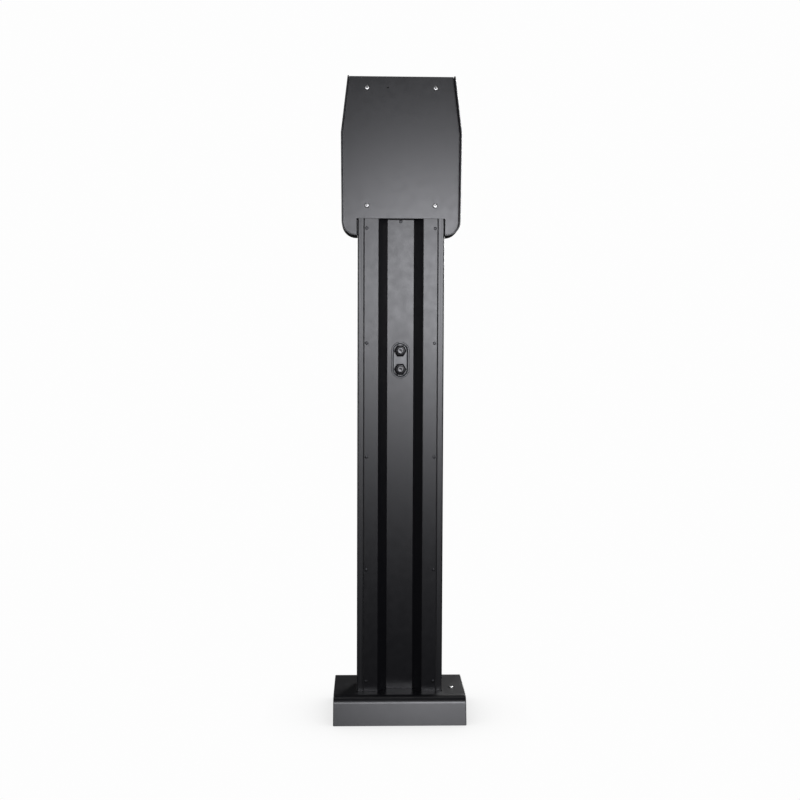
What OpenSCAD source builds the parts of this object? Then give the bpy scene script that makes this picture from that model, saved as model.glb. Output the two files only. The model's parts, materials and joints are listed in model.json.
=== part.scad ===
// Charging post for electric cars: a folded foot cover, an extruded column with a recessed rear
// cover, and a tapered head that carries the charging unit.
// Frame: millimetres, origin on the ground under the column, front -Y, rear +Y, +Z up.

/* [Overall] */
// Height of the head's top edge above the ground
total_h = 1400; // [1395:1:1405]
// Height of the column's top end above the ground
col_top = 1094.5; // [1092:0.5:1096]

/* [Column] */
// Width of the column
col_w = 187.5; // [186:0.5:188]
// Depth of the column
col_d = 66; // [65.5:0.5:67]
// Wall thickness of the column extrusion
col_wall = 3.5; // [3.5:0.1:3.6]
// Width of each outer lip beside the rear cover
lip_w = 13.2; // [12:0.1:14]
// Thickness of the folded sheet covers
sheet = 2; // [1.8:0.1:2]
// Width of the rear recess at its mouth
recess_w = 97; // [92:1:100]
// Depth of the rear recess
recess_d = 20; // [19:0.5:20]
// Height of the cable outlet's centre above the ground
outlet_z = 788.5; // [700:0.5:850]

/* [Foot] */
// Width of the foot cover
foot_w = 288.6; // [284:0.2:300]
// Depth of the foot cover at the ground
foot_d = 200; // [196:1:210]
// Distance of the foot cover's centre behind the column's centre, negative to the front
foot_y = -16; // [-18:1:-12]
// Height of the foot cover
foot_h = 60; // [58:1:60]
// Outer bend radius of the foot cover
foot_bend = 20; // [12:1:22]
// Lean of the foot cover's front and rear faces in degrees
foot_lean = 13.5; // [10:0.5:14]
// Thickness of the base plate
plate_t = 8; // [6:1:8]
// Diameter of each anchor hole
anchor_d = 14; // [12:1:14]

/* [Head] */
// Half width of the head at its top edge
top_hw = 115.5; // [115:0.1:117]
// Half width of the head at its kink
kink_hw = 130.3; // [129:0.1:131]
// Half width of the head low down
low_hw = 128.2; // [128:0.1:129]
// Height of the kink above the ground
kink_z = 1277; // [1272:1:1280]
// Height of the head's bottom edge above the ground
head_z = 1057; // [1054:1:1058]
// Radius of the head's bottom corners
head_r = 31; // [29:1:38]

/* [Charging unit] */
// Distance of the unit's front face in front of the column's centre
unit_front = 106; // [106:1:106]
// Height of the socket's centre above the ground
socket_z = 1190; // [1189:1:1191]

/* [Hidden] */
$fn = 48;

// Shared clearances
eps = 0.1;          // how far a cut runs past a face
free = 0.1;         // radial clearance round a screw in its own hole

// Column
col_hw = col_w / 2;
rear_y = col_d / 2;
in_hw = col_hw - col_wall;
front_in = -rear_y + col_wall;
seam = 1.6;
relief = [2, 1.4];   // width and depth of the groove under the seam
lip_x = col_hw - lip_w;
cover_hw = lip_x - seam;
floor_hw = recess_w / 2 - recess_d;
floor_y = rear_y - recess_d;
shelf_y = rear_y - sheet;
cover_z = [12, col_top - 0.6];
cover_screw_x = 73.8;
cover_screw_z = [for (i = [0 : 4]) 82 + 247.75 * i];
csk_r = 5.6;        // M6 countersunk head
foot_screw_y = 15;
foot_screw_z = 38;
neck_screw_y = -10;
neck_screw_z = [940, 1040];

// Foot
base_w = 256;
base_d = 140;
anchor = [108, 50];
entry_r = 30;
bracket_top = 70;
post_at = [-116, 8];
post_r = 6;

// Rear outlet
outlet_w = 39.5;
outlet_h = 80;
cup_w = 33.6;
cup_h = 74.1;
gland_dz = 20.3;
m20 = 10;

// Head
rim_t = 3;
rim_y = [-28, 36];
rim_top = total_h - 2.6;
rim_in = col_hw + 0.6;
plate_y = [15, 18];
notch_hw = 96.5;
notch_z = col_top + 1.5;
head_screw = [74.1, 126];
head_screw_z = 1249.3;
web_y = [4, 10];

// Charging unit
unit_gap = 6;
unit_wall = 3;
unit_z = [head_z + 13, 1392];
unit_back = 4;
split_y = -36;
front_t = 3.5;
front_in_y = -unit_front + front_t;
unit_notch = [98, col_top + 5.5];
lid_axis = [-unit_front - 7, socket_z + 47];
lock_z = unit_notch[1] + 22;
button_at = [50, 1258];
flap_at = [-50, 1311];
flap_axis = [-unit_front - 4, 1347];
reader_at = [50, 1318];
light_z = 1370;
light_w = 120;
breaker_x = [-68, -32];
toggle_at = [-69, 1312];
toggle_rest = 20;
board_z = [1136, 1256];
riser = [45, -14];
riser_r = 6.5;
riser_z = [249, 1288];
pins = [[0, 0, 3], [-13.5, 0, 3], [13.5, 0, 3], [-7.5, -12, 3], [7.5, -12, 3],
        [-6.8, 11, 1.5], [6.8, 11, 1.5]];

// ---------- helpers ----------

function arc(cx, cy, r, a0, a1, n = 8) =
    [for (i = [0 : n]) let (a = a0 + (a1 - a0) * i / n) [cx + r * cos(a), cy + r * sin(a)]];

function rrect(w, d, r) = concat(
    arc(w / 2 - r, d / 2 - r, r, 0, 90), arc(-w / 2 + r, d / 2 - r, r, 90, 180),
    arc(-w / 2 + r, -d / 2 + r, r, 180, 270), arc(w / 2 - r, -d / 2 + r, r, 270, 360));

// Half width of the head at a height: tapered above the kink, nearly straight below it
function head_hw(z) = z > kink_z
    ? kink_hw + (top_hw - kink_hw) * (z - kink_z) / (total_h - kink_z)
    : kink_hw + (low_hw - kink_hw) * (kink_z - z) / (kink_z - head_z);

// The head's outline in X and Z, drawn d inside it, from z0 to z1, with round corners
function outline(d, z0, z1, r0, r1) = let (
    right = concat(
        r1 > 0 ? arc(head_hw(z1 - r1) - d - r1, z1 - r1, r1, 90, 0) : [[head_hw(z1) - d, z1]],
        [[kink_hw - d, kink_z]],
        arc(head_hw(z0 + r0) - d - r0, z0 + r0, r0, 0, -90)))
    concat(right, [for (i = [len(right) - 1 : -1 : 0]) [-right[i][0], right[i][1]]]);

module slab(y0, y1) translate([0, y1, 0]) rotate([90, 0, 0]) linear_extrude(y1 - y0) children();
module block(lo, hi) translate(lo) cube(hi - lo);
module rod_y(x, z, y0, y1, r)
    translate([x, y0, z]) rotate([-90, 0, 0]) cylinder(h = y1 - y0, r = r);
module rod_x(x0, x1, y, z, r)
    translate([x0, y, z]) rotate([0, 90, 0]) cylinder(h = x1 - x0, r = r);
module rod_z(x, y, z0, z1, r) translate([x, y, z0]) cylinder(h = z1 - z0, r = r);
module hex_y(x, z, y0, y1, across)
    translate([x, y0, z]) rotate([-90, 0, 0])
        cylinder(h = y1 - y0, r = across / sqrt(3), $fn = 6);
module hex_z(x, y, z0, z1, across)
    translate([x, y, z0]) cylinder(h = z1 - z0, r = across / sqrt(3), $fn = 6);
module mirrored_x() for (m = [0, 1]) mirror([m, 0, 0]) children();
module oval(w, h) {
    for (s = [-1, 1]) translate([0, s * (h - w) / 2]) circle(d = w);
    square([w, h - w], center = true);
}

// A screw standing along +Z with its head's underside at z = 0
module pan_screw(d, l, head_d, head_h, drive) difference() {
    union() {
        cylinder(h = head_h, d1 = head_d, d2 = head_d * 0.75);
        translate([0, 0, -l]) cylinder(h = l + eps, d = d);
    }
    translate([0, 0, head_h * 0.35]) cylinder(h = head_h, d = drive, $fn = 6);
}

// A countersunk screw along +Z with its flat top at z = 0
module csk_screw(d, l, head_r) difference() {
    union() {
        translate([0, 0, -l]) cylinder(h = l, d = d);
        translate([0, 0, d / 2 - head_r]) cylinder(h = head_r - d / 2, r1 = d / 2, r2 = head_r);
    }
    translate([0, 0, -1.8]) cylinder(h = 3, r = d * 0.36, $fn = 6);
}

// Places children at the countersunk holes of the column's +X side, with +Z pointing outwards
module side_places(ys, zs)
    for (y = ys, z = zs) translate([col_hw, y, z]) rotate([0, 90, 0]) children();

// A round wire wound into a helix along +Z
module coil(r, wire_r, height, turns) {
    sides = 8;
    steps = 16 * turns;
    rings = [for (i = [0 : steps], k = [0 : sides - 1])
        let (a = 360 * turns * i / steps, b = 360 * k / sides, q = r + wire_r * cos(b))
        [q * cos(a), q * sin(a), wire_r + (height - 2 * wire_r) * i / steps + wire_r * sin(b)]];
    skin = [for (i = [0 : steps - 1], k = [0 : sides - 1])
        let (n = (k + 1) % sides)
        [i * sides + k, i * sides + n, (i + 1) * sides + n, (i + 1) * sides + k]];
    ends = [[for (k = [sides - 1 : -1 : 0]) k], [for (k = [0 : sides - 1]) steps * sides + k]];
    polyhedron(rings, concat(skin, ends));
}

// ---------- foot ----------

module base_plate() color("dimgray") linear_extrude(plate_t) difference() {
    polygon(rrect(base_w, base_d, 6));
    circle(r = entry_r);
    for (x = [-1, 1], y = [-1, 1]) translate([x * anchor[0], y * anchor[1]]) circle(d = anchor_d);
}

module foot_brackets() color("dimgray") mirrored_x() difference() {
    union() {
        block([in_hw - 5, -25, plate_t], [in_hw, 25, bracket_top]);
        block([in_hw - 27, -25, plate_t], [in_hw - 5, 25, plate_t + 6]);
    }
    for (y = [-1, 1]) rod_x(in_hw - 6, in_hw + 1, y * foot_screw_y, foot_screw_z, 3 + free);
}

module foot_screws() color("silver") mirrored_x()
    side_places([-foot_screw_y, foot_screw_y], [foot_screw_z]) csk_screw(6, 12, csk_r - free);

// The cover's section: faces that lean in, and round bends up to the flat top
module foot_profile(inset) {
    t = foot_lean;
    bend_z = foot_h - foot_bend;
    bend_y = foot_d / 2 - bend_z * tan(t) - foot_bend / cos(t);
    r = foot_bend - inset;
    base_y = foot_d / 2 - inset / cos(t) + inset * tan(t);
    translate([foot_y, 0]) polygon(concat([[-base_y, -inset], [base_y, -inset]],
        arc(bend_y, bend_z, r, t, 90, 12), arc(-bend_y, bend_z, r, 90, 180 - t, 12)));
}

module along_x(x0, x1)
    translate([x0, 0, 0]) rotate([90, 0, 90]) linear_extrude(x1 - x0) children();

module base_cover() color("#2b2d31") difference() {
    along_x(-foot_w / 2, foot_w / 2) foot_profile(0);
    along_x(-foot_w / 2 + sheet, foot_w / 2 - sheet) foot_profile(sheet);
    translate([0, 0, foot_h - 2 * sheet]) linear_extrude(3 * sheet) difference() {
        square([col_w + 2, col_d + 2], center = true);
        polygon([[-floor_hw + 0.4, floor_y + 1], [floor_hw - 0.4, floor_y + 1],
                 [floor_hw + recess_d + 1.6, rear_y + 3], [-floor_hw - recess_d - 1.6, rear_y + 3]]);
    }
    rod_z(post_at[0], post_at[1], foot_h - 2 * sheet, foot_h + 1, 2.7);
}

module cover_post() color("silver") difference() {
    rod_z(post_at[0], post_at[1], plate_t, foot_h - sheet, post_r);
    rod_z(post_at[0], post_at[1], foot_h - sheet - 15, foot_h, 2.5);
}

module base_cover_screw() color("gainsboro")
    translate([post_at[0], post_at[1], foot_h]) pan_screw(4.8, 12, 9.5, 2.6, 3.4);

module earth_stud() color("goldenrod") {
    rod_z(-50, -10, plate_t, plate_t + 26, 3);
    for (z = [10, 17]) difference() {
        hex_z(-50, -10, plate_t + z, plate_t + z + 5, 10);
        rod_z(-50, -10, plate_t + z - 1, plate_t + z + 6, 3.02);
    }
}

// ---------- column ----------

module column_section() difference() {
    union() {
        difference() {
            polygon(rrect(col_w, col_d, 3));
            polygon(rrect(2 * in_hw, col_d - 2 * col_wall, 1.5));
            translate([-lip_x, rear_y - col_wall - 1]) square([2 * lip_x, col_wall + 2]);
        }
        mirrored_x() translate([66, shelf_y - col_wall]) square([in_hw - 65.5, col_wall]);
    }
    mirrored_x() translate([lip_x - relief[0], shelf_y - relief[1]])
        square([relief[0], relief[1] + eps]);
}

module column_body() color("#303237") difference() {
    translate([0, 0, plate_t]) linear_extrude(col_top - plate_t) column_section();
    mirrored_x() {
        side_places([-foot_screw_y, foot_screw_y], [foot_screw_z]) csk_hole();
        side_places([neck_screw_y], neck_screw_z) csk_hole();
        for (z = cover_screw_z) rod_y(cover_screw_x, z, shelf_y - 5, shelf_y + 1, 2);
    }
}

module csk_hole() {
    translate([0, 0, -5]) cylinder(h = 6, r = 3 + free);
    translate([0, 0, 3 - csk_r]) cylinder(h = csk_r - 3 + eps, r1 = 3, r2 = csk_r + eps);
}

module recess_outer() polygon([[-floor_hw, floor_y], [floor_hw, floor_y],
    [floor_hw + recess_d + 10, rear_y + 10], [-floor_hw - recess_d - 10, rear_y + 10]]);

module recess_inner() let (k = sheet * tan(22.5))
    polygon([[-floor_hw - k, floor_y - sheet], [floor_hw + k, floor_y - sheet],
             [floor_hw + k + recess_d, shelf_y], [-floor_hw - k - recess_d, shelf_y]]);

// Two rubber strips that lie in the relief grooves, under the seams
module cover_gaskets() color("#151618") mirrored_x()
    translate([lip_x - relief[0], shelf_y - relief[1], cover_z[0]])
        cube([relief[0] - 0.1, relief[1], cover_z[1] - cover_z[0]]);

module rear_cover() color("#2b2d31") difference() {
    translate([0, 0, cover_z[0]]) linear_extrude(cover_z[1] - cover_z[0]) difference() {
        union() {
            translate([-cover_hw, shelf_y]) square([2 * cover_hw, sheet]);
            recess_inner();
        }
        recess_outer();
    }
    mirrored_x() for (z = cover_screw_z)
        rod_y(cover_screw_x, z, shelf_y - 1, rear_y + 1, 2 + free);
    rod_y(0, col_top - 5, floor_y - 3, floor_y + 1, 2 + free);
    translate([0, 0, outlet_z]) slab(floor_y - 3, floor_y + 1) oval(cup_w + 0.4, cup_h + 0.4);
}

module rear_cover_screws() color("#1c1d20") {
    mirrored_x() for (z = cover_screw_z) translate([cover_screw_x, rear_y, z])
        rotate([-90, 0, 0]) pan_screw(3.9, 8, 7, 1.6, 2.6);
    translate([0, floor_y, col_top - 5]) rotate([-90, 0, 0]) pan_screw(3.9, 8, 7, 1.6, 2.6);
}

module column_cap() color("#232427") translate([0, 0, col_top - 3]) linear_extrude(3)
difference() {
    translate([-in_hw + 0.2, front_in + 0.2])
        square([2 * in_hw - 0.4, shelf_y - col_wall - front_in - 0.4]);
    translate([-85.5, web_y[0] - 0.3]) square([171, web_y[1] - web_y[0] + 0.6]);
    polygon([[-floor_hw - 1.4, floor_y - 4], [floor_hw + 1.4, floor_y - 4],
             [floor_hw + recess_d + 3, rear_y], [-floor_hw - recess_d - 3, rear_y]]);
    translate(riser) circle(r = 9);
}

// ---------- rear outlet ----------

module outlet_cup() color("#3a3c40") difference() {
    translate([0, 0, outlet_z]) {
        slab(floor_y, floor_y + 1.2) oval(outlet_w, outlet_h);
        slab(1, floor_y + 1) oval(cup_w, cup_h);
    }
    translate([0, 0, outlet_z]) slab(3, floor_y + 3) oval(cup_w - 2, cup_h - 2);
    for (s = [-1, 1]) rod_y(0, outlet_z + s * gland_dz, 0, 4, m20 + free);
}

module gland_bodies() color("#17181a") for (s = [-1, 1]) difference() {
    union() {
        hex_y(0, outlet_z + s * gland_dz, 3, 7, 24);
        rod_y(0, outlet_z + s * gland_dz, -8, 3.5, m20);
    }
    rod_y(0, outlet_z + s * gland_dz, -9, 8, 6.5);
}

module gland_domes() color("#1b1c1f") for (s = [-1, 1])
    translate([0, 7, outlet_z + s * gland_dz]) rotate([-90, 0, 0]) difference() {
        union() {
            cylinder(h = 5, r = 24 / sqrt(3), $fn = 6);
            translate([0, 0, 5]) cylinder(h = 4, r1 = 12, r2 = 8.5);
        }
        translate([0, 0, -1]) cylinder(h = 12, r = 5.6);
    }

module gland_plugs() color("#26272b") for (s = [-1, 1]) {
    rod_y(0, outlet_z + s * gland_dz, 4, 16, 5.5);
    rod_y(0, outlet_z + s * gland_dz, 16, 17.5, 7);
}

module gland_locknuts() color("#17181a") for (s = [-1, 1]) difference() {
    hex_y(0, outlet_z + s * gland_dz, -4, 1, 27);
    rod_y(0, outlet_z + s * gland_dz, -5, 2, m20 + 0.03);
}

// ---------- wiring in the column ----------

module supply_terminals() color("lightgray") for (i = [0 : 4]) difference() {
    block([20 + 10 * i, front_in, 198], [29.6 + 10 * i, 6, 247]);
    for (z = [206, 239]) rod_y(24.8 + 10 * i, z, 0, 7, 3);
}

module riser_cable() color("#111214")
    rod_z(riser[0], riser[1], riser_z[0], riser_z[1], riser_r);

// ---------- head ----------

module neck_bracket() color("dimgray") difference() {
    union() {
        block([-in_hw + 0.2, web_y[0], 900], [in_hw - 0.2, web_y[1], col_top - 4]);
        block([-85, web_y[0], col_top - 5], [85, web_y[1], 1388]);
        mirrored_x() block([in_hw - 5.2, -26, 900], [in_hw - 0.2, web_y[0] + 1, 1076]);
    }
    mirrored_x() for (z = neck_screw_z) rod_x(in_hw - 6, in_hw + 1, neck_screw_y, z, 3 + free);
    head_screw_holes(web_y[0] - 1, web_y[1] + 1, 3.3);
    rod_y(0, col_top - 5, web_y[0] - 1, web_y[1] + 1, 2);
    for (z = [970, 1190, 1290]) slab(web_y[0] - 1, web_y[1] + 1)
        translate([0, z]) oval(40, 80);
}

module neck_screws() color("silver") mirrored_x()
    side_places([neck_screw_y], neck_screw_z) csk_screw(6, 12, csk_r - free);

module head_screw_holes(y0, y1, r)
    for (x = [-1, 1], z = [-1, 1])
        rod_y(x * head_screw[0], head_screw_z + z * head_screw[1], y0, y1, r);

module head_plate() color("#303237") difference() {
    slab(plate_y[0], plate_y[1]) difference() {
        polygon(outline(rim_t, head_z + rim_t, total_h, head_r - rim_t, 0));
        polygon(concat([[-notch_hw, 0], [notch_hw, 0]],
            arc(notch_hw - 3, notch_z - 3, 3, 0, 90), arc(-notch_hw + 3, notch_z - 3, 3, 90, 180)));
    }
    head_screw_holes(plate_y[0] - 1, plate_y[1] + 1, 3.3);
    rod_y(29.7, total_h - 24.4, plate_y[0] - 1, plate_y[1] + 1, 2.25);
}

// Each rim wraps one side and bottom corner, and ends in a return flange along the column's side
module side_rims() color("#2b2d31") {
    slab(rim_y[0], rim_y[1]) difference() {
        polygon(outline(0, head_z, total_h, head_r, 0));
        polygon(outline(rim_t, head_z + rim_t, total_h + 1, head_r - rim_t, 0));
        translate([-200, rim_top]) square([400, 20]);
        translate([-rim_in, 0]) square([2 * rim_in, notch_z]);
    }
    mirrored_x() block([rim_in, rim_y[0], head_z], [rim_in + 2, 0, unit_notch[1] - 5]);
}

module head_spacers() color("silver") difference() {
    head_screw_holes(web_y[1], plate_y[0], 9);
    head_screw_holes(web_y[1] - 1, plate_y[0] + 1, 3.3);
}

module head_screws() color("gainsboro")
    for (x = [-1, 1], z = [-1, 1])
        translate([x * head_screw[0], plate_y[1], head_screw_z + z * head_screw[1]])
            rotate([-90, 0, 0]) pan_screw(6, 26, 10.5, 3.3, 4.6);

// ---------- charging unit: housing ----------

module unit_notch_shape(grow) translate([-unit_notch[0] - grow, 0])
    square([2 * (unit_notch[0] + grow), unit_notch[1] + grow]);

module unit_shape(d) polygon(outline(unit_gap + d, unit_z[0] + d, unit_z[1] - d, 32 - d, 9 - d));

module unit_base() color("#2a2c30") difference() {
    union() {
        difference() {
            slab(split_y + 1, unit_back) difference() { unit_shape(0); unit_notch_shape(0); }
            slab(split_y, unit_back - unit_wall) difference() {
                unit_shape(unit_wall);
                unit_notch_shape(unit_wall);
            }
        }
        head_screw_holes(-12, unit_back - 1, 8);
        for (x = [-90, 22], z = [board_z[0] + 6, board_z[1] - 6])
            rod_y(x, z, -14, unit_back - 1, 4);
    }
    head_screw_holes(-1, unit_back + 1, 3.3);
    head_screw_holes(-13, 0, 4.22);
    rod_z(riser[0], riser[1], unit_notch[1] - 1, unit_notch[1] + 4, m20 + free);
}

module unit_inserts() color("goldenrod") difference() {
    head_screw_holes(-11, -1, 4.2);
    head_screw_holes(-12, 0, 3 + free);
}

module unit_seal() color("#101012") slab(split_y - 1, split_y + 1) difference() {
    difference() { unit_shape(0.5); unit_notch_shape(0.5); }
    difference() { unit_shape(2.5); unit_notch_shape(2.5); }
}

module unit_cover() color("#26282c") difference() {
    union() {
        difference() {
            union() {
                slab(-unit_front + 8, split_y - 1) unit_shape(0);
                hull() {
                    slab(-unit_front + 8, -unit_front + 8.5) unit_shape(0);
                    slab(-unit_front, -unit_front + 0.5) unit_shape(5.5);
                }
            }
            slab(-unit_front + 9, split_y) unit_shape(unit_wall);
            hull() {
                slab(-unit_front + 9, -unit_front + 9.5) unit_shape(unit_wall);
                slab(front_in_y, front_in_y + 0.5) unit_shape(7);
            }
        }
        block([-106, split_y - 4, unit_z[0] + 1], [106, split_y - 1, unit_notch[1] + 2.8]);
        for (x = [flap_at[0] - 36, flap_at[0] + 36]) block([x - 2, flap_axis[0] - 3.2, 1341],
            [x + 2, -unit_front + 0.5, flap_axis[1] + 3.2]);
    }
    rod_y(0, socket_z, -unit_front - 1, front_in_y + 1, 36.3);
    for (a = [45 : 90 : 315])
        rod_y(39.8 * cos(a), socket_z + 39.8 * sin(a), -unit_front - 1, front_in_y + 1, 1.6);
    rod_y(0, lock_z, -unit_front - 1, front_in_y + 1, 9.5);
    rod_y(button_at[0], button_at[1], -unit_front - 1, front_in_y + 1, 11.1);
    slab(-unit_front - 1, front_in_y + 1) translate([flap_at[0], 1312])
        polygon(rrect(48, 52, 5));
    slab(-unit_front - 1, -unit_front + 2) translate(reader_at) polygon(rrect(64.4, 64.4, 8));
    slab(-unit_front - 1, front_in_y + 1) translate([0, light_z]) rotate(90) oval(8, light_w);
    rod_x(flap_at[0] - 40, flap_at[0] + 40, flap_axis[0], flap_axis[1], 1.52);
}

module lock_catch() color("silver") {
    block([-10, -70, unit_notch[1] + unit_wall], [10, -8, unit_notch[1] + 6]);
    block([-10, -70, unit_notch[1] + 5.5], [10, -67, lock_z - 8]);
}

// ---------- charging unit: key lock ----------

module lock_body() color("gainsboro") difference() {
    union() {
        rod_y(0, lock_z, -unit_front - 3, -unit_front, 11);
        rod_y(0, lock_z, -unit_front - 0.5, -82, 9.4);
    }
    rod_y(0, lock_z, -unit_front - 4, -81, 6.5);
}

module lock_nut() color("silver") difference() {
    hex_y(0, lock_z, front_in_y, front_in_y + 5, 22);
    rod_y(0, lock_z, front_in_y - 1, front_in_y + 6, 9.45);
}

module lock_plug() color("silver") difference() {
    union() {
        rod_y(0, lock_z, -unit_front - 2.6, -72, 6.42);
        rod_y(0, lock_z, -72.5, -61, 4);
    }
    block([-0.9, -unit_front - 4, lock_z - 4], [0.9, -unit_front + 12, lock_z + 4]);
}

module lock_cam() color("silver") difference() {
    union() {
        rod_y(0, lock_z, -66.5, -63.5, 7.5);
        block([-5, -66.5, lock_z - 14.5], [5, -63.5, lock_z]);
    }
    rod_y(0, lock_z, -67, -63, 4.02);
}

// ---------- charging unit: socket ----------

module plug_shape(r, flat) difference() {
    circle(r = r);
    translate([-r, flat]) square([2 * r, r]);
}

module socket_shell() color("#1d1e21") difference() {
    union() {
        rod_y(0, socket_z, -unit_front - 4, -unit_front, 43);
        rod_y(0, socket_z, -unit_front - 1, -62, 36);
        mirrored_x() {
            block([14, lid_axis[0] + 1.5, socket_z + 36], [19, -unit_front, lid_axis[1]]);
            rod_x(14, 19, lid_axis[0], lid_axis[1], 4.5);
        }
    }
    translate([0, 0, socket_z]) slab(-unit_front - 5, -64) plug_shape(28.5, 25.5);
    for (p = pins) rod_y(p[0], socket_z + p[1], -66, -61, p[2] + 1.1);
    for (a = [45 : 90 : 315])
        rod_y(39.8 * cos(a), socket_z + 39.8 * sin(a), -unit_front - 5, -unit_front + 1, 1.6);
    rod_x(-20, 20, lid_axis[0], lid_axis[1], 2.02);
    rod_z(0, -88, socket_z + 24, socket_z + 38, 3.6);
}

module socket_screws() color("silver") for (a = [45 : 90 : 315])
    translate([39.8 * cos(a), -unit_front - 4, socket_z + 39.8 * sin(a)])
        rotate([90, 0, 0]) pan_screw(3, 10, 5, 1.2, 2);

module socket_core() color("#3b3d42") difference() {
    translate([0, 0, socket_z]) slab(-97, -64) plug_shape(22.5, 19);
    for (p = pins) rod_y(p[0], socket_z + p[1], -98, -63, p[2] + 1.05);
}

module socket_contacts() color("goldenrod") for (p = pins) difference() {
    rod_y(p[0], socket_z + p[1], -95.5, -57, p[2] + 1);
    rod_y(p[0], socket_z + p[1], -96, -70, p[2]);
}

module socket_lid() color("#232529") difference() {
    union() {
        rod_y(0, socket_z, lid_axis[0] - 5, lid_axis[0] + 1, 42);
        translate([0, lid_axis[0] - 5, socket_z]) rotate([90, 0, 0])
            cylinder(h = 3, r1 = 42, r2 = 37);
        block([-12, lid_axis[0] - 4, socket_z - 47], [12, lid_axis[0] + 1, socket_z - 38]);
        block([-13.6, lid_axis[0] - 4.5, socket_z + 34], [13.6, lid_axis[0], lid_axis[1]]);
        rod_x(-13.6, 13.6, lid_axis[0], lid_axis[1], 4.5);
    }
    rod_x(-14, 14, lid_axis[0], lid_axis[1], 2.06);
    rod_x(-4.8, 4.8, lid_axis[0], lid_axis[1], 5.2);
    rod_y(0, socket_z, lid_axis[0] - 4, lid_axis[0] + 2, 29);
}

module lid_seal() color("#0e0e10") difference() {
    rod_y(0, socket_z, lid_axis[0] + 1, lid_axis[0] + 2.8, 36);
    rod_y(0, socket_z, lid_axis[0], lid_axis[0] + 4, 31);
}

module lid_pin() color("silver") rod_x(-19.8, 19.8, lid_axis[0], lid_axis[1], 2);

module lid_spring() color("silver")
    translate([-4.4, lid_axis[0], lid_axis[1]]) rotate([0, 90, 0]) coil(3.2, 0.5, 8.8, 6);

module lock_actuator() color("#2f3136") difference() {
    block([-18, -98, socket_z + 37], [18, -70, socket_z + 65]);
    rod_z(0, -88, socket_z + 36, socket_z + 61, 3.6);
}

module plug_lock_pin() color("silver") rod_z(0, -88, socket_z + 25.8, socket_z + 55, 3.5);

// ---------- charging unit: controls ----------

module status_light() color("paleturquoise") {
    slab(-unit_front - 0.6, front_in_y) translate([0, light_z]) rotate(90)
        oval(7.6, light_w - 0.4);
    slab(front_in_y, front_in_y + 2) translate([0, light_z]) rotate(90) oval(12, light_w + 4);
}

module led_board() color("darkgreen")
    block([-60, front_in_y + 3, light_z - 7], [60, front_in_y + 4.6, light_z + 7]);

module reader_window() color("#0c0d0f") slab(-unit_front - 0.2, -unit_front + 2)
    translate(reader_at) polygon(rrect(64, 64, 8));

module reader_board() color("darkgreen")
    block([reader_at[0] - 28, front_in_y + 4, reader_at[1] - 28],
          [reader_at[0] + 28, front_in_y + 5.6, reader_at[1] + 28]);

module button_housing() color("silver") difference() {
    union() {
        rod_y(button_at[0], button_at[1], -unit_front - 3, -unit_front, 14.5);
        rod_y(button_at[0], button_at[1], -unit_front - 0.5, -80, 11);
    }
    rod_y(button_at[0], button_at[1], -unit_front - 4, -84, 9.8);
}

module stop_button() color("#a32020") {
    rod_y(button_at[0], button_at[1], -unit_front - 2.6, -98, 9.72);
    rod_y(button_at[0], button_at[1], -98.5, -89, 3);
}

module button_spring() color("silver")
    translate([button_at[0], -97.5, button_at[1]]) rotate([-90, 0, 0]) coil(6, 0.5, 13, 4);

module breaker_flap() color("#5a6068") difference() {
    union() {
        slab(-unit_front - 4.5, -unit_front - 1.5) translate(flap_at) polygon(rrect(64, 66, 6));
        block([flap_at[0] - 31.5, -unit_front - 4.5, 1340],
              [flap_at[0] + 31.5, -unit_front - 3.4, flap_axis[1]]);
        rod_x(flap_at[0] - 33.6, flap_at[0] + 33.6, flap_axis[0], flap_axis[1], 3.2);
        block([flap_at[0] - 10, -unit_front - 8, 1278], [flap_at[0] + 10, -unit_front - 4, 1282]);
    }
    rod_x(flap_at[0] - 36, flap_at[0] + 36, flap_axis[0], flap_axis[1], 1.56);
}

module flap_pin() color("silver")
    rod_x(flap_at[0] - 38, flap_at[0] + 38, flap_axis[0], flap_axis[1], 1.5);

// ---------- charging unit: inside ----------

module breaker() color("whitesmoke") difference() {
    union() {
        block([breaker_x[0], -66, 1269.5], [breaker_x[1], -7, 1354.5]);
        block([breaker_x[0], -72, 1289.5], [breaker_x[1], -65.5, 1334.5]);
    }
    block([-58.5, -73, 1301], [-41.5, -61, 1323]);
}

module breaker_toggle() color("#2a2a2c") translate([-50, toggle_at[0], toggle_at[1]])
    rotate([-toggle_rest, 0, 0]) {
        rod_x(-8, 8, 0, 0, 6);
        block([-8, -17, -2.5], [8, 0, 2.5]);
    }

module contactor() color("#3a3d42") {
    block([-27, -52, 1269.5], [18, -7, 1354.5]);
    block([-27, -60, 1284], [18, -51.5, 1340]);
}

module din_rail() color("silver") along_x(-105, 108) {
    translate([-7, 1294.5]) square([1, 5]);
    translate([-7, 1324.5]) square([1, 5]);
    translate([-7, 1298.5]) square([8, 1]);
    translate([-7, 1324.5]) square([8, 1]);
    translate([0, 1298.5]) square([1, 27]);
}

module unit_terminals() color("lightgray") for (i = [0 : 4]) difference() {
    block([24 + 9 * i, -48, 1291], [32.6 + 9 * i, -7, 1333]);
    for (z = [1298, 1326]) rod_y(28.3 + 9 * i, z, -49, -42, 3);
}

module controller_board() color("darkgreen") {
    block([-96, -15.6, board_z[0]], [28, -14, board_z[1]]);
    for (i = [0 : 3])
        block([-82 + 25 * i, -30, board_z[0] + 12], [-64 + 25 * i, -15.4, board_z[0] + 30]);
    block([-80, -19, board_z[0] + 60], [-50, -15.4, board_z[0] + 90]);
    for (i = [0 : 2]) rod_y(-30 + 16 * i, board_z[0] + 70, -34, -15.4, 6);
}

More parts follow.
